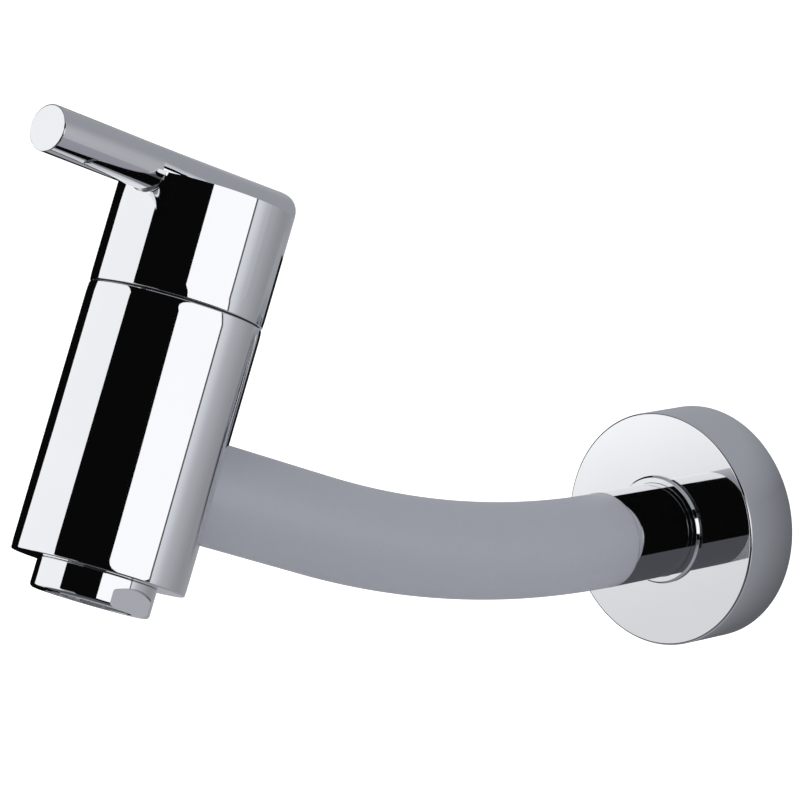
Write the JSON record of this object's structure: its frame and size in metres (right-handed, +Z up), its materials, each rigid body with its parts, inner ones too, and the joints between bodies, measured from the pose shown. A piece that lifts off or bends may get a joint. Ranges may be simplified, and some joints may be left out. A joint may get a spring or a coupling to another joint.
{
  "type": "wall-mounted basin tap",
  "caption": "Wall-mounted basin tap: round flange, bent grey arm, tilted cylindrical valve body with outlet ring, and a bar lever that turns on top.",
  "frame": {"origin": "centre of the inlet thread in the wall plane, which is the plane of the flange's back rim", "axes": "+Y goes into the wall along the inlet thread, so the tap stands out towards -Y; +Z is up; +X is to the right of someone who faces the wall"},
  "size_m": [0.06, 0.2506, 0.1514],
  "materials": {
    "polished_chrome": "mirror polished",
    "satin_grey_coat": "satin",
    "brass": "turned",
    "seal_rubber": "matte",
    "ceramic": "lapped",
    "dark_plastic": "matte",
    "white_plastic": "matte",
    "grey_plastic": "matte",
    "stainless_steel": "plain"
  },
  "bodies": {
    "tap": {"wall_flange": "polished_chrome", "flange_o_ring": "seal_rubber", "flange_collar": "polished_chrome", "inlet_tail": "brass", "wall_washer": "seal_rubber", "lock_nut": "brass", "neck_sleeve": "polished_chrome", "arm_sleeve": "satin_grey_coat", "arm_pipe": "brass", "arm_o_ring": "seal_rubber", "body_shell": "polished_chrome", "slip_ring": "dark_plastic", "valve_housing": "brass", "housing_o_ring": "seal_rubber", "seat_seal": "seal_rubber", "fixed_disc": "ceramic", "thrust_washer": "white_plastic", "aerator_housing": "polished_chrome", "aerator_insert": "grey_plastic", "aerator_washer": "seal_rubber"},
    "lever": {"lever_handle": "polished_chrome", "spline_adapter": "white_plastic", "lever_grub_screw": "stainless_steel", "screw_plug": "dark_plastic", "spindle": "brass", "spindle_o_rings": "seal_rubber", "spindle_clip": "stainless_steel", "turning_disc": "ceramic"}
  },
  "joints": [
    {"name": "lever_turn", "type": "hinge", "parent": "tap", "child": "lever", "pos_m": [0, -0.20794, 0.03762], "axis": [0, 0.3584, 0.9336], "range_deg": [0, 90]}
  ]
}
